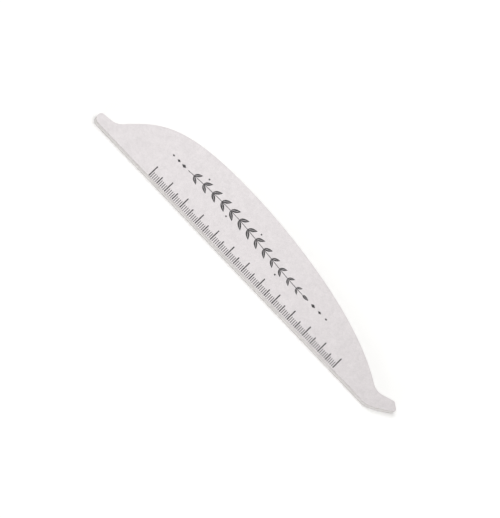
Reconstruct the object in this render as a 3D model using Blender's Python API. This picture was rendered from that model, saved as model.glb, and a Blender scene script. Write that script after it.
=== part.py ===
"""A crescent nail file: a stiff core board between two foam cushions and two abrasive sheets.

+X runs along the straight edge from the blunt tab to the hooked tab, +Y from the straight
edge to the crown of the arch, and +Z out of the front face. The origin is below the middle
of the file, on the surface that its rear face lies on. Lengths are in metres.
"""

import math

import bmesh
import bpy
from mathutils import Vector
from mathutils.geometry import interpolate_bezier

# Plan of the file, measured from the end of the blunt tab and from the straight edge
FILE_LENGTH = 0.1895
FILE_WIDTH = 0.0310
CROWN_FROM_TIP = 0.0742
HAUNCH_ANGLE = math.radians(51.4)
RUN_OUT_ANGLE = math.radians(32.7)

# How far each end of the two arch curves pulls along its heading, as shares of the curve's run
HAUNCH_PULL_SHARES = (0.31, 0.67)
RUN_OUT_PULL_SHARES = (0.17, 0.35)

# Blunt tab, in line with the straight edge
BLUNT_TAB_LENGTH = 0.0090
BLUNT_TAB_END_WIDTH = 0.0046
BLUNT_TAB_ROOT_WIDTH = 0.0058
BLUNT_TAB_NECK_RADIUS = 0.0075
BLUNT_TAB_FOOT_RADIUS_SHARE = 0.60
BLUNT_TAB_HEAD_RADIUS_SHARE = 0.38

# Hooked tab, swept up towards the arch, measured back from the unrounded corner of its toe
HOOK_LENGTH = 0.0133
HOOK_NECK_HEIGHT = 0.0077
HOOK_NECK_RADIUS = 0.0071
HOOK_HEAD_SETBACK = 0.0041
HOOK_HEAD_HEIGHT = 0.0110
HOOK_TOE_HEIGHT = 0.0080
HOOK_TOE_ANGLE = math.radians(35.9)
HOOK_CORNER_RADIUS = 0.0010
SWEEP_LENGTH = 0.0130
SWEEP_PULL_SHARES = (0.36, 0.26)

# Layers, from the core outwards. The rear side repeats the front.
CORE_THICKNESS = 0.00100
CORE_ADHESIVE_THICKNESS = 0.00010
FOAM_THICKNESS = 0.00107
SHEET_ADHESIVE_THICKNESS = 0.00008
PAPER_THICKNESS = 0.00030
GRIT_THICKNESS = 0.00020
BOND_CLEARANCE = 0.00001

# The die draws the sheets down over the foam at the rim, and the foam springs back into a waist
RIM_DROP = 0.00014
RIM_WIDTH = 0.00055
FOAM_WAIST = 0.00014
RIM_RING_SHARES = (0.0, 0.4, 1.0)
WAIST_RING_SHARES = (0.0, 0.2, 0.5, 0.8, 1.0)

# Segments in each stretch of the outline
HAUNCH_STEPS = 18
RUN_OUT_STEPS = 24
SWEEP_STEPS = 8
NECK_STEPS = 5
CORNER_STEPS = 5

# Linear colour and roughness of each material
FINISHES = {
    "silicon_carbide_grit": ((0.80, 0.76, 0.77), 0.85),
    "latex_paper": ((0.52, 0.49, 0.49), 0.80),
    "acrylic_film_adhesive": ((0.80, 0.79, 0.74), 0.35),
    "eva_foam": ((0.68, 0.66, 0.66), 0.90),
    "polystyrene_board": ((0.86, 0.86, 0.85), 0.45),
}


def clear_scene():
    for found in list(bpy.data.objects):
        bpy.data.objects.remove(found, do_unlink=True)


def finish_material(finish):
    colour, roughness = FINISHES[finish]
    material = bpy.data.materials.get(finish) or bpy.data.materials.new(finish)
    material.use_nodes = True
    material.diffuse_color = (*colour, 1.0)
    shader = material.node_tree.nodes["Principled BSDF"]
    shader.inputs["Base Color"].default_value = (*colour, 1.0)
    shader.inputs["Roughness"].default_value = roughness
    shader.inputs["Metallic"].default_value = 0.0
    return material


def heading(angle):
    return Vector((math.cos(angle), math.sin(angle)))


def rounded_corner(corner, arriving, leaving, radius, steps):
    """The points of the arc that rounds a corner between an arriving and a leaving direction."""
    turn = math.atan2(arriving.cross(leaving), arriving.dot(leaving))
    start_angle = math.atan2(arriving.y, arriving.x)
    spoke_angle = start_angle - math.copysign(math.pi / 2, turn)
    start = corner - heading(start_angle) * radius * math.tan(abs(turn) / 2)
    centre = start - heading(spoke_angle) * radius
    return [centre + heading(spoke_angle + turn * step / steps) * radius for step in range(steps + 1)]


def curve_between(start, start_angle, end, end_angle, pull_shares, steps):
    """The points between the two ends of a curve that leaves and arrives at the given headings."""
    run = abs(end.x - start.x)
    start_handle = start + heading(start_angle) * run * pull_shares[0]
    end_handle = end - heading(end_angle) * run * pull_shares[1]
    return interpolate_bezier(start, start_handle, end_handle, end, steps + 1)[1:-1]


def blunt_tab():
    """From the straight edge, round the tongue, to the foot of the haunch."""
    foot = Vector((0.0, 0.0))
    head = Vector((0.0, BLUNT_TAB_END_WIDTH))
    neck = Vector((BLUNT_TAB_LENGTH, BLUNT_TAB_ROOT_WIDTH))
    foot_radius = BLUNT_TAB_END_WIDTH * BLUNT_TAB_FOOT_RADIUS_SHARE
    head_radius = BLUNT_TAB_END_WIDTH * BLUNT_TAB_HEAD_RADIUS_SHARE
    return (
        rounded_corner(foot, heading(math.pi), head - foot, foot_radius, CORNER_STEPS)
        + rounded_corner(head, head - foot, neck - head, head_radius, CORNER_STEPS)
        + rounded_corner(neck, neck - head, heading(HAUNCH_ANGLE), BLUNT_TAB_NECK_RADIUS, NECK_STEPS)
    )


def hooked_tab():
    """From the foot of the run-out, round the hook, to its underside, with its end at the file's length."""
    neck = Vector((-HOOK_LENGTH, HOOK_NECK_HEIGHT))
    head = Vector((-HOOK_HEAD_SETBACK, HOOK_HEAD_HEIGHT))
    toe = Vector((0.0, HOOK_TOE_HEIGHT))
    hook = (
        rounded_corner(neck, heading(-RUN_OUT_ANGLE), head - neck, HOOK_NECK_RADIUS, NECK_STEPS)
        + rounded_corner(head, head - neck, toe - head, HOOK_CORNER_RADIUS, CORNER_STEPS)
        + rounded_corner(toe, toe - head, -heading(HOOK_TOE_ANGLE), HOOK_CORNER_RADIUS, CORNER_STEPS)
    )
    reach = Vector((FILE_LENGTH - max(point.x for point in hook), 0.0))
    return [point + reach for point in hook]


def die_outline():
    """The outline of every layer, clockwise seen from the front, with the middle of its box on the origin."""
    tongue = blunt_tab()
    hook = hooked_tab()
    crown = Vector((CROWN_FROM_TIP, FILE_WIDTH))
    edge_end = Vector((FILE_LENGTH - SWEEP_LENGTH, 0.0))
    haunch = curve_between(tongue[-1], HAUNCH_ANGLE, crown, 0.0, HAUNCH_PULL_SHARES, HAUNCH_STEPS)
    run_out = curve_between(crown, 0.0, hook[0], -RUN_OUT_ANGLE, RUN_OUT_PULL_SHARES, RUN_OUT_STEPS)
    sweep = curve_between(
        hook[-1], HOOK_TOE_ANGLE + math.pi, edge_end, math.pi, SWEEP_PULL_SHARES, SWEEP_STEPS
    )
    outline = tongue + haunch + [crown] + run_out + hook + sweep + [edge_end]
    xs = [point.x for point in outline]
    ys = [point.y for point in outline]
    middle = Vector(((min(xs) + max(xs)) / 2, (min(ys) + max(ys)) / 2))
    return [point - middle for point in outline]


def inset_outline(outline, distance):
    """The outline moved inwards by one distance along its whole length."""
    moved = []
    for index, point in enumerate(outline):
        arriving = (point - outline[index - 1]).normalized()
        leaving = (outline[(index + 1) % len(outline)] - point).normalized()
        inward = Vector((arriving.y + leaving.y, -arriving.x - leaving.x))
        moved.append(point + inward * distance / (1.0 + arriving.dot(leaving)))
    return moved


def rim_drop(share):
    """How far a sheet is drawn down at this share of the way in from its rim."""
    return RIM_DROP * (1.0 - share) ** 2


def flat_rings(inner, outer):
    """A layer with square edges, as rings of inset and height from its inner face to its outer face."""
    return [(0.0, inner), (0.0, outer)]


def foam_rings(inner, outer):
    """A cushion that is flat on its inner face, with a waist in its edge and a drawn-down outer rim."""
    rim = outer - rim_drop(0.0)
    edge = [(FOAM_WAIST * math.sin(math.pi * share), inner + (rim - inner) * share) for share in WAIST_RING_SHARES]
    return edge + [(RIM_WIDTH * share, outer - rim_drop(share)) for share in RIM_RING_SHARES[1:]]


def sheet_rings(inner, outer):
    """A thin sheet whose two faces are both drawn down at the rim."""
    inner_face = [(RIM_WIDTH * share, inner - rim_drop(share)) for share in reversed(RIM_RING_SHARES)]
    return inner_face + [(RIM_WIDTH * share, outer - rim_drop(share)) for share in RIM_RING_SHARES]


def add_layer(name, finish, outline, rings, middle_height):
    """A closed sheet through its rings, which run from its lower face to its upper face."""
    mesh = bmesh.new()
    loops = []
    for inset, height in rings:
        loops.append([mesh.verts.new((*point, height)) for point in inset_outline(outline, inset)])
    mesh.faces.new(loops[0])
    for lower, upper in zip(loops, loops[1:]):
        for index in range(len(outline)):
            ahead = (index + 1) % len(outline)
            mesh.faces.new((lower[index], upper[index], upper[ahead], lower[ahead]))
    mesh.faces.new(reversed(loops[-1]))
    data = bpy.data.meshes.new(name)
    mesh.to_mesh(data)
    mesh.free()
    data.materials.append(finish_material(finish))
    data.shade_smooth()
    data.set_sharp_from_angle(angle=math.radians(30.0))
    layer = bpy.data.objects.new(name, data)
    layer.location = (0.0, 0.0, middle_height)
    bpy.context.scene.collection.objects.link(layer)


def side_layers():
    """Each layer outside the core: its name, finish, thickness and shape, from the core outwards."""
    return (
        ("core_adhesive", "acrylic_film_adhesive", CORE_ADHESIVE_THICKNESS, flat_rings),
        ("foam_cushion", "eva_foam", FOAM_THICKNESS, foam_rings),
        ("sheet_adhesive", "acrylic_film_adhesive", SHEET_ADHESIVE_THICKNESS, sheet_rings),
        ("backing_paper", "latex_paper", PAPER_THICKNESS, sheet_rings),
        ("grit_coat", "silicon_carbide_grit", GRIT_THICKNESS, sheet_rings),
    )


def build_file():
    outline = die_outline()
    half_core = CORE_THICKNESS / 2
    middle_height = half_core + sum(thickness + BOND_CLEARANCE for _, _, thickness, _ in side_layers())
    add_layer("core_board", "polystyrene_board", outline, flat_rings(-half_core, half_core), middle_height)
    face = half_core
    for name, finish, thickness, shape in side_layers():
        inner = face + BOND_CLEARANCE
        face = inner + thickness
        front = shape(inner, face)
        rear = [(inset, -height) for inset, height in reversed(front)]
        add_layer("front_" + name, finish, outline, front, middle_height)
        add_layer("rear_" + name, finish, outline, rear, middle_height)


clear_scene()
build_file()
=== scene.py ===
"""A cushioned crescent nail file, printed face up on a pale studio floor.

+X runs along the straight edge from the blunt tab to the hooked tab, +Y from the straight
edge to the arch, and +Z out of the printed face. Lengths are in metres.
"""

import math

import bpy
from mathutils import Matrix, Vector


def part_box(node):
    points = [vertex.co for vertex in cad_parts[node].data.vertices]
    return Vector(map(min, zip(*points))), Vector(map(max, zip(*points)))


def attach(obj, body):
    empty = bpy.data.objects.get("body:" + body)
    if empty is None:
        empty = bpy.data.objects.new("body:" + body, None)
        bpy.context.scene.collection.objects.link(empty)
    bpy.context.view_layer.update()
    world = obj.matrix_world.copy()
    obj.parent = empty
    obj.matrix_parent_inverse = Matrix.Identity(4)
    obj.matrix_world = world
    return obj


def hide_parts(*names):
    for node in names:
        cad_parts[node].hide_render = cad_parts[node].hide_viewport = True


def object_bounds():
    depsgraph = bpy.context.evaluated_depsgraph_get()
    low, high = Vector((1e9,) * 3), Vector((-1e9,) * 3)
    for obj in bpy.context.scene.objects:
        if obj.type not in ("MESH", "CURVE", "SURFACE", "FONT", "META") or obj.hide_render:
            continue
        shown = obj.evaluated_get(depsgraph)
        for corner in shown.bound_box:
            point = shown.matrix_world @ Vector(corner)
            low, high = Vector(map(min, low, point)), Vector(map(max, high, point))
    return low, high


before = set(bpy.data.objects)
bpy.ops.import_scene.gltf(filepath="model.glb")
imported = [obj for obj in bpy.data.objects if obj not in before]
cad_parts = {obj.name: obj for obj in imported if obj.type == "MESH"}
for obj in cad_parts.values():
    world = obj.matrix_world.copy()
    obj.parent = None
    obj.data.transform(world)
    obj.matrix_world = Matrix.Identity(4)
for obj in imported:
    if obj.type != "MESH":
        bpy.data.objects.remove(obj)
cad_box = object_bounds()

MM = 0.001
SIDES = ("front", "rear")

# Abrasive coats: their faces are sunk, then sunk further between the grains, in cells cut by a net
COAT_CELL = 0.30 * MM
COAT_SINK = 0.020 * MM
COAT_RELIEF = 0.030 * MM
COAT_RELIEF_WIDTH = 0.70 * MM
COAT_NET_DEPTH = 2.0 * MM

# Cut edge of the foam, left whole for a margin above its lower face and one below its upper face
FOAM_EDGE_STEP = 0.45 * MM
FOAM_CELL = 0.32 * MM
FOAM_CELL_DEPTH = 0.07 * MM
FOAM_MARGINS = (0.12 * MM, 0.20 * MM)

# Ink film, laid flat in cells of one step and pressed onto the sheet
INK_STEP = 0.16 * MM
MARK_STEP = 0.20 * MM
INK_LIFT = 0.018 * MM
INK_FILM = 0.030 * MM

# Rule printed along the straight edge, as (length, width) of each kind of mark
ZERO_MARK_FROM_TIP = 35.56 * MM
MARK_FOOT_FROM_EDGE = 0.05 * MM
CENTIMETRE_MARK = (6.05 * MM, 0.55 * MM)
HALF_CENTIMETRE_MARK = (4.15 * MM, 0.53 * MM)
MILLIMETRE_MARK = (3.00 * MM, 0.32 * MM)
MARK_CORNER_SHARE = 0.2
RULE_LENGTH_CM = 12
PRINT_SKEW = math.radians(0.13)

# Stem of the sprig printed above the rule, which bows in half waves
SPRIG_START_FROM_TIP = 46.3 * MM
SPRIG_LENGTH = 76.0 * MM
SPRIG_HEIGHT = 15.6 * MM
SPRIG_BOW = 1.5 * MM
SPRIG_HALF_WAVES = 1.5
STEM_WIDTH = 0.30 * MM
STEM_SPANS = 4

# Leaves of the sprig, at full size about a third of the way up the stem and smallest at its tip.
# The margins are from the root to the first pair and from the last pair to the tip, in pitches.
LEAF_PAIRS = 13
PAIR_MARGINS = (0.6, 0.7)
LEAF_LENGTH = 4.8 * MM
LEAF_WIDTH = 1.75 * MM
LEAF_COLUMNS = 11
LEAF_POINT_SHARE = 0.06
LEAF_VEIN_SHARE = 0.8
LEAF_STANDOFF = 0.22 * MM
LEAF_ANGLE = math.radians(38.0)
SMALLEST_LEAF = 0.62
TIP_LEAF = 0.8

# Berries, one beside every third pair of leaves, at this place from the pair's foot
BERRY_EVERY = 3
BERRY_RADIUS = 0.42 * MM
BERRY_RING_SHARE = 0.35
BERRY_PLACE = (0.4 * MM, 3.6 * MM)

# Lozenges past each end of the sprig, closer together at its root
LOZENGE_LENGTHS = (2.6 * MM, 2.0 * MM, 1.5 * MM)
LOZENGE_WIDTH_SHARE = 0.62
LOZENGE_GAP = 3.4 * MM
LOZENGE_PITCH = 4.2 * MM
ROOT_LOZENGE_CLOSENESS = 0.8

# Widths of the patterns in the finishes
GRAIN_WIDTH = 0.16 * MM
SPECKLE_WIDTH = 0.30 * MM
CLUMP_WIDTH = 1.3 * MM
MOTTLE_WIDTH = 4.0 * MM
FIBRE_WIDTH = 0.5 * MM
DUST_WIDTH = 0.9 * MM
CELL_WIDTH = 0.30 * MM
FOAM_PATCH_WIDTH = 6.0 * MM
DRAG_WIDTH = 0.35 * MM
INK_GRAIN_WIDTH = 0.30 * MM

# Foam, as sRGB of its opened cells and its skin. Both cushions are one foam, drawn in two shades: the front
# one darker as painted shade under the face's edge, and the rear one whiter as painted light that a real
# table throws back at the lower half of the edge.
FOAM_COLOURS_WITH_PAINTED_SHADING = {"front": ("#C3BFBF", "#E3E0E0"), "rear": ("#D4D1D1", "#F5F3F3")}

# Limits that tell the parts of a mesh from one another
MERGE_REACH = 0.001 * MM
COLUMN_REACH = 0.01 * MM
LEVEL_REACH = 0.05 * MM
WALL_NORMAL_LIMIT = 0.7
QUAD_ANGLE = math.radians(40.0)
SMOOTH_ANGLE = math.radians(35.0)

# Camera
VIEW_AZIMUTH = math.radians(-3.2)
VIEW_ELEVATION = math.radians(68.0)
VIEW_ROLL = math.radians(49.401)
VIEW_AIM = Vector((-0.34, -7.88, 4.60)) * MM
VIEW_DISTANCE = 2.4
VIEW_HEIGHT = 233.86 * MM

# Table, whose paint is brightest below the key softbox, so its glow grows from there to its reach
FLOOR_SIZE = 6.0
TABLE_MIDDLE = (-0.055, 0.002, 0.0)
TABLE_GLOW = (0.175, 1.0)
TABLE_GLOW_REACH = 0.421

# Even light of the room, and the softboxes as place, aim, (width, height) and watts
ROOM_STRENGTH = 0.42
SOFTBOXES = {
    "key_softbox": ((-0.035, 0.03, 0.30), (-0.035, 0.0, 0.0), (0.20, 0.20), 0.49),
    "edge_softbox": ((0.10, -0.75, 0.18), (0.0, -0.015, 0.0), (0.30, 0.25), 1.25),
    "hook_softbox": ((0.60, -0.35, 0.08), (0.09, -0.012, 0.0), (0.20, 0.12), 0.6),
    "tip_softbox": ((-0.60, -0.10, 0.15), (-0.095, -0.012, 0.0), (0.20, 0.16), 0.7),
}


def linear(hex_colour):
    """A colour written as sRGB hex, as the linear RGBA that the shaders take."""
    channels = [int(hex_colour[start:start + 2], 16) / 255.0 for start in (1, 3, 5)]
    return (*[c / 12.92 if c <= 0.04045 else ((c + 0.055) / 1.055) ** 2.4 for c in channels], 1.0)


def add_node(tree, kind, settings=None, links=None):
    """Adds a node with its properties, its socket values and the links into it."""
    node = tree.nodes.new(kind)
    for name, value in (settings or {}).items():
        if isinstance(name, int) or name in node.inputs:
            node.inputs[name].default_value = value
        else:
            setattr(node, name, value)
    for name, socket in (links or {}).items():
        tree.links.new(socket, node.inputs[name])
    return node


def new_material(name, roughness, ior):
    material = bpy.data.materials.new(name)
    material.use_nodes = True
    shader = material.node_tree.nodes["Principled BSDF"]
    shader.inputs["Roughness"].default_value = roughness
    shader.inputs["IOR"].default_value = ior
    return material, material.node_tree, shader


def object_coordinates(tree):
    return add_node(tree, "ShaderNodeTexCoord").outputs["Object"]


# Silicon carbide on latex paper, electrostatically coated and sized with a pale stearate: a matt,
# faintly rosy light grey, even at arm's length, with packed grains that show close by.
# Grains of about 0.1 mm are drawn 0.16 mm wide, because finer ones vanish in the picture.
def coated_abrasive():
    material, tree, shader = new_material("silicon_carbide_coated_paper", 0.78, 1.5)
    place = object_coordinates(tree)
    speckle = add_node(
        tree, "ShaderNodeTexNoise", {"Scale": 1 / SPECKLE_WIDTH, "Detail": 3.0}, {"Vector": place},
    )
    clump = add_node(tree, "ShaderNodeTexNoise", {"Scale": 1 / CLUMP_WIDTH, "Detail": 2.0}, {"Vector": place})
    mottle = add_node(
        tree, "ShaderNodeTexNoise", {"Scale": 1 / MOTTLE_WIDTH, "Detail": 3.0}, {"Vector": place},
    )
    grains = add_node(tree, "ShaderNodeTexVoronoi", {"Scale": 1 / GRAIN_WIDTH}, {"Vector": place})
    fine = add_node(
        tree, "ShaderNodeMix", {"data_type": "RGBA", 6: linear("#D9D3D6"), 7: linear("#F2EEF0")},
        {"Factor": speckle.outputs["Fac"]},
    )
    broad = add_node(
        tree, "ShaderNodeMapRange", {"From Min": 0.3, "From Max": 0.7, "To Min": 0.965, "To Max": 1.02},
        {"Value": mottle.outputs["Fac"]},
    )
    clumped = add_node(
        tree, "ShaderNodeMapRange", {"From Min": 0.3, "From Max": 0.7, "To Min": 0.966, "To Max": 1.031},
        {"Value": clump.outputs["Fac"]},
    )
    dark_grain = add_node(tree, "ShaderNodeSeparateColor", links={"Color": grains.outputs["Color"]})
    grain_tone = add_node(
        tree, "ShaderNodeMapRange", {"From Min": 0.7, "From Max": 1.0, "To Min": 1.0, "To Max": 0.88},
        {"Value": dark_grain.outputs["Red"]},
    )
    patches = add_node(
        tree, "ShaderNodeMath", {"operation": "MULTIPLY"},
        {0: broad.outputs["Result"], 1: clumped.outputs["Result"]},
    )
    tone = add_node(
        tree, "ShaderNodeMath", {"operation": "MULTIPLY"},
        {0: patches.outputs["Value"], 1: grain_tone.outputs["Result"]},
    )
    colour = add_node(
        tree, "ShaderNodeVectorMath", {"operation": "SCALE"},
        {0: fine.outputs[2], "Scale": tone.outputs["Value"]},
    )
    tree.links.new(colour.outputs["Vector"], shader.inputs["Base Color"])
    relief = add_node(
        tree, "ShaderNodeBump", {"Strength": 0.40, "Distance": 0.03 * MM, "invert": True},
        {"Height": grains.outputs["Distance"]},
    )
    tree.links.new(relief.outputs["Normal"], shader.inputs["Normal"])
    return material


# Latex-filled kraft paper, slit by the die: a soft grey line with fibres pulled along the cut.
def backing_paper():
    material, tree, shader = new_material("latex_kraft_paper_die_cut", 0.85, 1.5)
    flattened = add_node(
        tree, "ShaderNodeMapping", {"Scale": (1.0, 1.0, 4.0)}, {"Vector": object_coordinates(tree)},
    )
    fibres = add_node(
        tree, "ShaderNodeTexNoise", {"Scale": 1 / FIBRE_WIDTH, "Detail": 4.0, "Roughness": 0.6},
        {"Vector": flattened.outputs["Vector"]},
    )
    colour = add_node(
        tree, "ShaderNodeMix", {"data_type": "RGBA", 6: linear("#B2ADAA"), 7: linear("#D8D3D0")},
        {"Factor": fibres.outputs["Fac"]},
    )
    tree.links.new(colour.outputs[2], shader.inputs["Base Color"])
    fuzz = add_node(
        tree, "ShaderNodeBump", {"Strength": 0.4, "Distance": 0.04 * MM}, {"Height": fibres.outputs["Fac"]},
    )
    tree.links.new(fuzz.outputs["Normal"], shader.inputs["Normal"])
    return material


# Double-coated acrylic film, cut with the stack: a thin glossier line that has caught a little dust.
def acrylic_adhesive():
    material, tree, shader = new_material("acrylic_adhesive_film_die_cut", 0.38, 1.47)
    dust = add_node(
        tree, "ShaderNodeTexNoise", {"Scale": 1 / DUST_WIDTH, "Detail": 4.0},
        {"Vector": object_coordinates(tree)},
    )
    colour = add_node(
        tree, "ShaderNodeMix", {"data_type": "RGBA", 6: linear("#C4C0B8"), 7: linear("#DEDAD2")},
        {"Factor": dust.outputs["Fac"]},
    )
    tree.links.new(colour.outputs[2], shader.inputs["Base Color"])
    smear = add_node(
        tree, "ShaderNodeMapRange", {"To Min": 0.28, "To Max": 0.55}, {"Value": dust.outputs["Fac"]},
    )
    tree.links.new(smear.outputs["Result"], shader.inputs["Roughness"])
    return material


# Closed-cell EVA foam, steel-rule die cut: a matt pale grey edge pricked by opened cells.
# Cells of about 0.15 mm are drawn 0.3 mm wide, so that they show.
def eva_foam(side):
    material, tree, shader = new_material("eva_foam_die_cut_painted_shading_" + side, 0.9, 1.48)
    # The side's colours hold painted shading: darker for the front cushion, whiter for the rear one.
    cell_hex, skin_hex = FOAM_COLOURS_WITH_PAINTED_SHADING[side]
    place = object_coordinates(tree)
    cells = add_node(tree, "ShaderNodeTexVoronoi", {"Scale": 1 / CELL_WIDTH}, {"Vector": place})
    patches = add_node(
        tree, "ShaderNodeTexNoise", {"Scale": 1 / FOAM_PATCH_WIDTH, "Detail": 2.0}, {"Vector": place},
    )
    opened = add_node(
        tree, "ShaderNodeMapRange", {"From Min": 0.1, "From Max": 0.6}, {"Value": cells.outputs["Distance"]},
    )
    pricked = add_node(
        tree, "ShaderNodeMix", {"data_type": "RGBA", 6: linear(cell_hex), 7: linear(skin_hex)},
        {"Factor": opened.outputs["Result"]},
    )
    tint = add_node(
        tree, "ShaderNodeMapRange", {"From Min": 0.3, "From Max": 0.7, "To Min": 0.95, "To Max": 1.03},
        {"Value": patches.outputs["Fac"]},
    )
    colour = add_node(
        tree, "ShaderNodeVectorMath", {"operation": "SCALE"},
        {0: pricked.outputs[2], "Scale": tint.outputs["Result"]},
    )
    tree.links.new(colour.outputs["Vector"], shader.inputs["Base Color"])
    pores = add_node(
        tree, "ShaderNodeBump", {"Strength": 0.6, "Distance": 0.06 * MM},
        {"Height": cells.outputs["Distance"]},
    )
    tree.links.new(pores.outputs["Normal"], shader.inputs["Normal"])
    return material


# Extruded polystyrene board, die cut: clean white, drawn grey here as painted shade on the edge, with upright
# drag lines where the blade passed.
def polystyrene_board():
    material, tree, shader = new_material("extruded_polystyrene_board_die_cut_painted_shade", 0.42, 1.59)
    upright = add_node(
        tree, "ShaderNodeMapping", {"Scale": (1.0, 1.0, 0.12)}, {"Vector": object_coordinates(tree)},
    )
    drag = add_node(
        tree, "ShaderNodeTexNoise", {"Scale": 1 / DRAG_WIDTH, "Detail": 3.0},
        {"Vector": upright.outputs["Vector"]},
    )
    # Greyed white: painted shade on the edge of the stack.
    colour = add_node(
        tree, "ShaderNodeMix", {"data_type": "RGBA", 6: linear("#CDC9C9"), 7: linear("#E4E0E0")},
        {"Factor": drag.outputs["Fac"]},
    )
    tree.links.new(colour.outputs[2], shader.inputs["Base Color"])
    ridges = add_node(
        tree, "ShaderNodeBump", {"Strength": 0.35, "Distance": 0.03 * MM}, {"Height": drag.outputs["Fac"]},
    )
    tree.links.new(ridges.outputs["Normal"], shader.inputs["Normal"])
    return material


# Screen-printed solvent ink on abrasive: matt black that thins to charcoal over the grains.
# Its pits are drawn 0.3 mm wide, about three times a grain, so that they show.
def printing_ink():
    material, tree, shader = new_material("screen_printed_ink", 0.6, 1.5)
    grains = add_node(
        tree, "ShaderNodeTexVoronoi", {"Scale": 1 / INK_GRAIN_WIDTH}, {"Vector": object_coordinates(tree)},
    )
    colour = add_node(
        tree, "ShaderNodeMix", {"data_type": "RGBA", 6: linear("#343134"), 7: linear("#1B191B")},
        {"Factor": grains.outputs["Distance"]},
    )
    tree.links.new(colour.outputs[2], shader.inputs["Base Color"])
    relief = add_node(
        tree, "ShaderNodeBump", {"Strength": 0.4, "Distance": 0.04 * MM, "invert": True},
        {"Height": grains.outputs["Distance"]},
    )
    tree.links.new(relief.outputs["Normal"], shader.inputs["Normal"])
    return material


def rays_that_see_the_room(tree):
    """One for rays from the camera, a gloss or a glass, and zero for rays that gather soft light."""
    rays = add_node(tree, "ShaderNodeLightPath")
    direct = add_node(
        tree, "ShaderNodeMath", {"operation": "MAXIMUM"},
        {0: rays.outputs["Is Camera Ray"], 1: rays.outputs["Is Glossy Ray"]},
    )
    seeing = add_node(
        tree, "ShaderNodeMath", {"operation": "MAXIMUM"},
        {0: direct.outputs["Value"], 1: rays.outputs["Is Transmission Ray"]},
    )
    return seeing.outputs["Value"]


# Matt painted table: the paint takes the object's shadow, and a glow that only the camera, gloss and
# glass see lifts it to white.
def studio_table():
    material, tree, shader = new_material("matt_painted_table", 1.0, 1.5)
    tree.nodes.remove(shader)
    paint = add_node(tree, "ShaderNodeBsdfDiffuse", {"Color": linear("#F2F2F2")})
    away = add_node(
        tree, "ShaderNodeVectorMath", {"operation": "DISTANCE", 1: TABLE_MIDDLE},
        {0: object_coordinates(tree)},
    )
    spread = add_node(tree, "ShaderNodeMath", {"operation": "POWER", 1: 2.0}, {0: away.outputs["Value"]})
    glow_level = add_node(
        tree, "ShaderNodeMapRange",
        {"From Max": TABLE_GLOW_REACH ** 2, "To Min": TABLE_GLOW[0], "To Max": TABLE_GLOW[1]},
        {"Value": spread.outputs["Value"]},
    )
    lift = add_node(
        tree, "ShaderNodeMath", {"operation": "MULTIPLY"},
        {0: rays_that_see_the_room(tree), 1: glow_level.outputs["Result"]},
    )
    glow = add_node(
        tree, "ShaderNodeEmission", {"Color": linear("#FFFFFF")}, {"Strength": lift.outputs["Value"]},
    )
    surface = add_node(
        tree, "ShaderNodeAddShader", links={0: paint.outputs["BSDF"], 1: glow.outputs["Emission"]},
    )
    tree.links.new(surface.outputs["Shader"], tree.nodes["Material Output"].inputs["Surface"])
    return material


def select_only(piece):
    bpy.ops.object.select_all(action="DESELECT")
    bpy.context.view_layer.objects.active = piece
    piece.select_set(True)


def start_editing(piece):
    """Opens one piece in edit mode with all of it selected."""
    select_only(piece)
    bpy.ops.object.mode_set(mode="EDIT")
    bpy.ops.mesh.select_all(action="SELECT")


def select_faces(piece, wanted):
    """Selects the faces that a test of centre and normal accepts, from inside edit mode."""
    bpy.ops.object.mode_set(mode="OBJECT")
    for vertex in piece.data.vertices:
        vertex.select = False
    for edge in piece.data.edges:
        edge.select = False
    for face in piece.data.polygons:
        face.select = wanted(face.center, face.normal)
    bpy.ops.object.mode_set(mode="EDIT")
    bpy.ops.mesh.select_mode(type="FACE")


def select_vertices(piece, wanted):
    """Selects the vertices whose place a test accepts, from inside edit mode."""
    bpy.ops.mesh.select_mode(type="VERT")
    bpy.ops.mesh.select_all(action="DESELECT")
    bpy.ops.object.mode_set(mode="OBJECT")
    for vertex in piece.data.vertices:
        vertex.select = wanted(vertex.co)
    bpy.ops.object.mode_set(mode="EDIT")


def apply_modifier(piece, kind, settings):
    modifier = piece.modifiers.new(kind, kind)
    for name, value in settings.items():
        setattr(modifier, name, value)
    select_only(piece)
    bpy.ops.object.modifier_apply(modifier=modifier.name)


def apply_place(piece):
    """Moves a piece's place, turn and size into its mesh."""
    select_only(piece)
    bpy.ops.object.transform_apply(location=True, rotation=True, scale=True)


def finish_piece(piece, name, material, slot, *nodes):
    """Shades and names a piece, gives it its finish and lets it ride with the file."""
    apply_place(piece)
    bpy.ops.object.shade_smooth_by_angle(angle=SMOOTH_ANGLE)
    piece.name = name
    piece.data.name = name
    piece.data.materials.clear()
    piece.data.materials.append(material)
    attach(piece, "root")
    if nodes:
        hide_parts(*nodes)


def copy_of_node(node):
    """A new piece with the shape of a CAD node, its loose triangles merged into one skin."""
    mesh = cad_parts[node].data.copy()
    piece = bpy.data.objects.new(node + "_copy", mesh)
    bpy.context.scene.collection.objects.link(piece)
    start_editing(piece)
    bpy.ops.mesh.remove_doubles(threshold=MERGE_REACH)
    return piece


def relief_texture(name, width):
    texture = bpy.data.textures.new(name, "CLOUDS")
    texture.noise_scale = width
    texture.noise_depth = 1
    return texture


def coat_net(low, high, face_height, outward):
    """A block with a net of cells as its face, which cuts the coat's face into the same cells."""
    length = high.x - low.x + 4 * COAT_CELL
    width = high.y - low.y + 4 * COAT_CELL
    bpy.ops.mesh.primitive_grid_add(
        x_subdivisions=int(length / COAT_CELL), y_subdivisions=int(width / COAT_CELL), size=1.0,
        location=((low.x + high.x) / 2, (low.y + high.y) / 2, face_height),
    )
    net = bpy.context.object
    net.scale = (length, width, 1.0)
    apply_place(net)
    start_editing(net)
    bpy.ops.mesh.extrude_region_move(TRANSFORM_OT_translate={"value": (0.0, 0.0, -outward * COAT_NET_DEPTH)})
    bpy.ops.mesh.select_all(action="SELECT")
    bpy.ops.mesh.normals_make_consistent(inside=False)
    bpy.ops.object.mode_set(mode="OBJECT")
    return net


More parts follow.
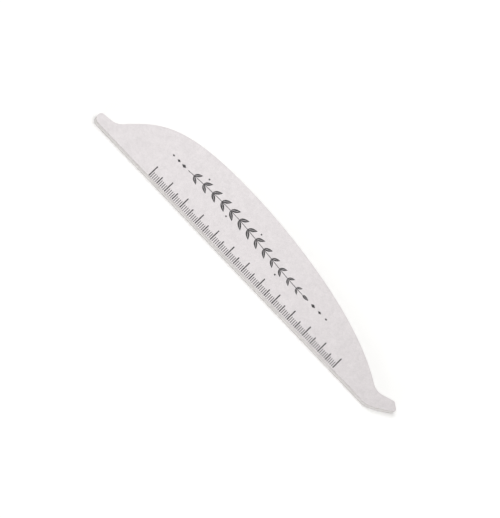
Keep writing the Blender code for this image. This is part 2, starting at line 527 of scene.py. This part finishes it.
def cut_abrasive_sheet(side, material):
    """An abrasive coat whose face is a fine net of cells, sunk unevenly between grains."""
    node = side + "_grit_coat"
    low, high = (Vector(corner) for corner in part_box(node))
    outward = 1.0 if side == "front" else -1.0
    face_height = high.z - COAT_SINK if side == "front" else low.z + COAT_SINK
    coat = copy_of_node(node)
    bpy.ops.object.mode_set(mode="OBJECT")
    net = coat_net(low, high, face_height, outward)
    apply_modifier(coat, "BOOLEAN", {"operation": "INTERSECT", "solver": "EXACT", "object": net})
    bpy.data.objects.remove(net, do_unlink=True)
    face = coat.vertex_groups.new(name="face")
    on_face = [v.index for v in coat.data.vertices if abs(v.co.z - face_height) < MERGE_REACH]
    face.add(on_face, 1.0, "REPLACE")
    apply_modifier(coat, "DISPLACE", {
        "texture": relief_texture(side + "_grains", COAT_RELIEF_WIDTH), "texture_coords": "LOCAL",
        "direction": "Z", "vertex_group": "face", "mid_level": 1.0, "strength": outward * COAT_RELIEF,
    })
    finish_piece(coat, side + "_abrasive_sheet", material, "silicon_carbide_grit", node)
    return coat


def select_long_wall_edges(foam):
    """Selects the level edges of the foam's walls that are longer than one step."""
    bpy.ops.object.mode_set(mode="OBJECT")
    mesh = foam.data
    walls = set()
    for face in mesh.polygons:
        face.select = False
        if abs(face.normal.z) < WALL_NORMAL_LIMIT and len(face.vertices) == 4:
            walls.update(face.edge_keys)
    for vertex in mesh.vertices:
        vertex.select = False
    for edge in mesh.edges:
        first, second = (mesh.vertices[index].co for index in edge.vertices)
        long = (second.xy - first.xy).length > FOAM_EDGE_STEP
        edge.select = long and edge.key in walls and abs(second.z - first.z) < LEVEL_REACH
    bpy.ops.object.mode_set(mode="EDIT")
    bpy.ops.mesh.select_mode(type="EDGE")


def cut_foam_cushion(side, material):
    """A foam cushion whose cut edge is waisted and broken by opened cells."""
    node = side + "_foam_cushion"
    low, high = (Vector(corner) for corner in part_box(node))
    foam = copy_of_node(node)
    select_faces(foam, lambda centre, normal: abs(normal.z) < WALL_NORMAL_LIMIT)
    bpy.ops.mesh.tris_convert_to_quads(face_threshold=QUAD_ANGLE, shape_threshold=QUAD_ANGLE)
    longest = high.x - low.x
    while longest > FOAM_EDGE_STEP:
        select_long_wall_edges(foam)
        bpy.ops.mesh.subdivide(number_cuts=1)
        longest /= 2
    bpy.ops.object.mode_set(mode="OBJECT")
    cut_edge = foam.vertex_groups.new(name="cut_edge")
    lowest = low.z + FOAM_MARGINS[0]
    highest = high.z - FOAM_MARGINS[1]
    cut_edge.add([v.index for v in foam.data.vertices if lowest < v.co.z < highest], 1.0, "REPLACE")
    apply_modifier(foam, "DISPLACE", {
        "texture": relief_texture(side + "_cells", FOAM_CELL), "texture_coords": "LOCAL",
        "direction": "NORMAL", "vertex_group": "cut_edge", "mid_level": 1.0, "strength": FOAM_CELL_DEPTH,
    })
    finish_piece(foam, side + "_cushion", material, "eva_foam", node)


def join_pieces(pieces):
    bpy.ops.object.select_all(action="DESELECT")
    for piece in pieces:
        piece.select_set(True)
    bpy.context.view_layer.objects.active = pieces[0]
    bpy.ops.object.join()
    return bpy.context.object


def place_print(piece, turn, x, y, size=1.0):
    """Turns and sizes a flat motif, lays it over the face at x and y and applies its place."""
    place = Matrix.Translation((x, y, cad_box[1].z + INK_LIFT))
    piece.matrix_world = place @ Matrix.Rotation(turn, 4, "Z") @ Matrix.Scale(size, 4)
    apply_place(piece)
    return piece


def copy_motif(motif):
    twin = motif.copy()
    twin.data = motif.data.copy()
    bpy.context.scene.collection.objects.link(twin)
    return twin


def press_ink(motifs, sheet, material, name):
    """Presses flat motifs onto the sheet, so that the film follows its grains and drawn-down rim."""
    film = join_pieces(motifs)
    apply_modifier(film, "SHRINKWRAP", {
        "target": sheet, "wrap_method": "PROJECT", "use_project_z": True, "use_positive_direction": False,
        "use_negative_direction": True, "offset": INK_LIFT,
    })
    apply_modifier(film, "SOLIDIFY", {"thickness": INK_FILM, "offset": -1.0})
    finish_piece(film, name, material, "silicon_carbide_grit")


def mark_row(size, steps):
    """Flat marks of one size, repeated by each (count, pitch) step, standing on the line y = 0."""
    length, width = size
    bpy.ops.object.select_all(action="DESELECT")
    bpy.ops.mesh.primitive_grid_add(x_subdivisions=2, y_subdivisions=round(length / MARK_STEP), size=1.0)
    mark = bpy.context.object
    start_editing(mark)
    bpy.ops.transform.resize(value=(width, length, 1.0))
    bpy.ops.transform.translate(value=(0.0, length / 2, 0.0))
    select_vertices(
        mark, lambda place: abs(place.x) > width * 0.49 and abs(place.y - length / 2) > length * 0.499,
    )
    bpy.ops.mesh.bevel(offset=width * MARK_CORNER_SHARE, segments=2, affect="VERTICES")
    bpy.ops.object.mode_set(mode="OBJECT")
    for count, pitch in steps:
        apply_modifier(mark, "ARRAY", {
            "count": count, "use_relative_offset": False, "use_constant_offset": True,
            "constant_offset_displace": (pitch, 0.0, 0.0),
        })
    return mark


def print_rule(sheet, material):
    """The centimetre rule: long marks for centimetres, middle ones for halves and short ones between."""
    centimetres = mark_row(CENTIMETRE_MARK, [(RULE_LENGTH_CM + 1, 10 * MM)])
    halves = mark_row(HALF_CENTIMETRE_MARK, [(RULE_LENGTH_CM, 10 * MM)])
    halves.location.x = 5 * MM
    millimetres = mark_row(MILLIMETRE_MARK, [(4, 1 * MM), (2 * RULE_LENGTH_CM, 5 * MM)])
    millimetres.location.x = 1 * MM
    rule = join_pieces([centimetres, halves, millimetres])
    place_print(rule, PRINT_SKEW, cad_box[0].x + ZERO_MARK_FROM_TIP, cad_box[0].y + MARK_FOOT_FROM_EDGE)
    press_ink([rule], sheet, material, "printed_rule")


def leaf_motif():
    """A pointed leaf with a bare vein, fullest below its middle, from the origin along +X."""
    rows = round(LEAF_LENGTH / INK_STEP)
    bpy.ops.object.select_all(action="DESELECT")
    bpy.ops.mesh.primitive_grid_add(x_subdivisions=rows, y_subdivisions=LEAF_COLUMNS, size=1.0)
    leaf = bpy.context.object
    start_editing(leaf)
    bpy.ops.transform.resize(value=(LEAF_LENGTH, LEAF_WIDTH, 1.0))
    bpy.ops.transform.translate(value=(LEAF_LENGTH / 2, 0.0, 0.0))
    vein_half = LEAF_WIDTH / LEAF_COLUMNS / 2
    vein_end = LEAF_LENGTH * LEAF_VEIN_SHARE
    select_faces(leaf, lambda centre, normal: abs(centre.y) < vein_half and centre.x < vein_end)
    bpy.ops.mesh.delete(type="FACE")
    for row in range(rows + 1):
        reach = row / rows
        fullness = max(LEAF_POINT_SHARE, math.sin(math.pi * reach ** 0.8) ** 0.9)
        select_vertices(leaf, lambda place: abs(place.x - reach * LEAF_LENGTH) < COLUMN_REACH)
        bpy.ops.transform.resize(value=(1.0, fullness, 1.0), center_override=(0.0, 0.0, 0.0))
    bpy.ops.object.mode_set(mode="OBJECT")
    return leaf


def berry_motif():
    bpy.ops.object.select_all(action="DESELECT")
    bpy.ops.mesh.primitive_circle_add(vertices=20, radius=BERRY_RADIUS, fill_type="NGON")
    berry = bpy.context.object
    start_editing(berry)
    bpy.ops.mesh.inset(thickness=BERRY_RADIUS * BERRY_RING_SHARE)
    bpy.ops.mesh.inset(thickness=BERRY_RADIUS * BERRY_RING_SHARE)
    bpy.ops.object.mode_set(mode="OBJECT")
    return berry


def lozenge_motif(length):
    """A four-cornered lozenge, longer along the file than across it."""
    side = length / math.sqrt(2.0)
    cells = round(side / INK_STEP)
    bpy.ops.object.select_all(action="DESELECT")
    bpy.ops.mesh.primitive_grid_add(
        x_subdivisions=cells, y_subdivisions=cells, size=side, rotation=(0.0, 0.0, math.pi / 4),
    )
    lozenge = bpy.context.object
    apply_place(lozenge)
    start_editing(lozenge)
    bpy.ops.transform.resize(value=(1.0, LOZENGE_WIDTH_SHARE, 1.0))
    bpy.ops.object.mode_set(mode="OBJECT")
    return lozenge


def stem_point(share):
    """Where the stem runs at this share of its length, and its heading there."""
    sweep = math.pi * SPRIG_HALF_WAVES
    x = cad_box[0].x + SPRIG_START_FROM_TIP + SPRIG_LENGTH * share
    y = cad_box[0].y + SPRIG_HEIGHT + SPRIG_BOW * math.sin(sweep * share)
    return x, y, math.atan(SPRIG_BOW * sweep * math.cos(sweep * share) / SPRIG_LENGTH)


def stem_motif():
    """The stem, a flat ribbon drawn through its bow."""
    bpy.ops.object.select_all(action="DESELECT")
    bpy.ops.curve.primitive_bezier_curve_add()
    stem = bpy.context.object
    stem.data.dimensions = "3D"
    spline = stem.data.splines[0]
    spline.bezier_points.add(STEM_SPANS - 1)
    span = SPRIG_LENGTH / STEM_SPANS
    for index, point in enumerate(spline.bezier_points):
        x, y, turn = stem_point(index / STEM_SPANS)
        pull = Vector((math.cos(turn), math.sin(turn), 0.0)) * span / 3
        point.handle_left_type = "FREE"
        point.handle_right_type = "FREE"
        point.co = (x, y, cad_box[1].z + INK_LIFT)
        point.handle_left = point.co - pull
        point.handle_right = point.co + pull
        point.tilt = math.pi / 2
    stem.data.extrude = STEM_WIDTH / 2
    stem.data.resolution_u = round(span / INK_STEP)
    bpy.ops.object.convert(target="MESH")
    stem = bpy.context.object
    start_editing(stem)
    bpy.ops.mesh.normals_make_consistent(inside=False)
    bpy.ops.object.mode_set(mode="OBJECT")
    if stem.data.polygons[0].normal.z < 0:
        stem.data.flip_normals()
    return stem


def leaf_size(share):
    """The size of the leaves at this share of the stem, against the drawn leaf."""
    swell = math.sin(math.pi * min(1.0, 0.18 + share * 0.86))
    return SMALLEST_LEAF + (1.0 - SMALLEST_LEAF) * swell


def print_sprig(sheet, material):
    """A sprig of paired leaves with berries, and three shrinking lozenges past each end."""
    leaf = leaf_motif()
    berry = berry_motif()
    motifs = [stem_motif()]
    pitches = LEAF_PAIRS - 1 + sum(PAIR_MARGINS)
    for index in range(LEAF_PAIRS):
        share = (index + PAIR_MARGINS[0]) / pitches
        x, y, turn = stem_point(share)
        for side in (1.0, -1.0):
            twin = copy_motif(leaf)
            foot = y + side * LEAF_STANDOFF
            motifs.append(place_print(twin, turn + side * LEAF_ANGLE, x, foot, leaf_size(share)))
        if index % BERRY_EVERY == 1:
            side = 1.0 if index % 2 else -1.0
            motifs.append(place_print(copy_motif(berry), 0.0, x + BERRY_PLACE[0], y + side * BERRY_PLACE[1]))
    tip_x, tip_y, tip_turn = stem_point(1.0)
    motifs.append(place_print(leaf, tip_turn, tip_x + LEAF_STANDOFF, tip_y, TIP_LEAF))
    root_x, root_y, _ = stem_point(0.0)
    for index, length in enumerate(LOZENGE_LENGTHS):
        gap = LOZENGE_GAP + LOZENGE_PITCH * index
        lozenge = lozenge_motif(length)
        motifs.append(place_print(copy_motif(lozenge), 0.0, tip_x + gap + LEAF_LENGTH * TIP_LEAF, tip_y))
        motifs.append(place_print(lozenge, 0.0, root_x - gap * ROOT_LOZENGE_CLOSENESS, root_y))
    bpy.data.objects.remove(berry, do_unlink=True)
    press_ink(motifs, sheet, material, "printed_sprig")


def dress_cad_nodes(finishes):
    """Gives each CAD node that stays in view its finish."""
    for node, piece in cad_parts.items():
        for ending, material in finishes.items():
            if node.endswith(ending):
                piece.data.materials.clear()
                piece.data.materials.append(material)


def lay_floor(material):
    bpy.ops.object.select_all(action="DESELECT")
    bpy.ops.mesh.primitive_plane_add(size=FLOOR_SIZE)
    floor = bpy.context.object
    floor.name = "studio_table"
    floor.data.materials.append(material)


def add_softbox(name, place, aim, size, watts):
    lamp = bpy.data.lights.new(name, "AREA")
    lamp.shape = "RECTANGLE"
    lamp.size, lamp.size_y = size
    lamp.energy = watts
    softbox = bpy.data.objects.new(name, lamp)
    softbox.location = place
    softbox.rotation_euler = (Vector(aim) - Vector(place)).to_track_quat("-Z", "Y").to_euler()
    bpy.context.scene.collection.objects.link(softbox)


def light_studio():
    """An even pale room, a large softbox above the blunt half and weak ones at the edge and both ends."""
    world = bpy.data.worlds.new("studio")
    bpy.context.scene.world = world
    world.use_nodes = True
    tree = world.node_tree
    tree.nodes.clear()
    room = add_node(tree, "ShaderNodeBackground", {"Color": linear("#FFFEFA"), "Strength": ROOM_STRENGTH})
    white = add_node(tree, "ShaderNodeBackground", {"Color": linear("#FFFFFF"), "Strength": 1.0})
    surface = add_node(
        tree, "ShaderNodeMixShader",
        links={0: rays_that_see_the_room(tree), 1: room.outputs[0], 2: white.outputs[0]},
    )
    add_node(tree, "ShaderNodeOutputWorld", links={"Surface": surface.outputs[0]})
    for name, (place, aim, size, watts) in SOFTBOXES.items():
        add_softbox(name, place, aim, size, watts)


def set_camera():
    """The photograph's view: from above, a little from the straight edge's side, and rolled."""
    data = bpy.data.cameras.new("camera")
    data.lens = data.sensor_width * VIEW_DISTANCE / VIEW_HEIGHT
    data.clip_end = 20.0
    camera = bpy.data.objects.new("camera", data)
    turn = (
        Matrix.Rotation(VIEW_AZIMUTH, 4, "Z")
        @ Matrix.Rotation(math.pi / 2 - VIEW_ELEVATION, 4, "X")
        @ Matrix.Rotation(VIEW_ROLL, 4, "Z")
    )
    back = turn.to_3x3() @ Vector((0.0, 0.0, 1.0))
    camera.matrix_world = Matrix.Translation(VIEW_AIM + back * VIEW_DISTANCE) @ turn
    bpy.context.scene.collection.objects.link(camera)
    bpy.context.scene.camera = camera


abrasive = coated_abrasive()
ink = printing_ink()
sheets = {side: cut_abrasive_sheet(side, abrasive) for side in SIDES}
for side in SIDES:
    cut_foam_cushion(side, eva_foam(side))
print_rule(sheets["front"], ink)
print_sprig(sheets["front"], ink)
dress_cad_nodes({
    "backing_paper": backing_paper(),
    "adhesive": acrylic_adhesive(),
    "core_board": polystyrene_board(),
})
lay_floor(studio_table())
light_studio()
set_camera()
bpy.context.scene.view_settings.view_transform = "Standard"
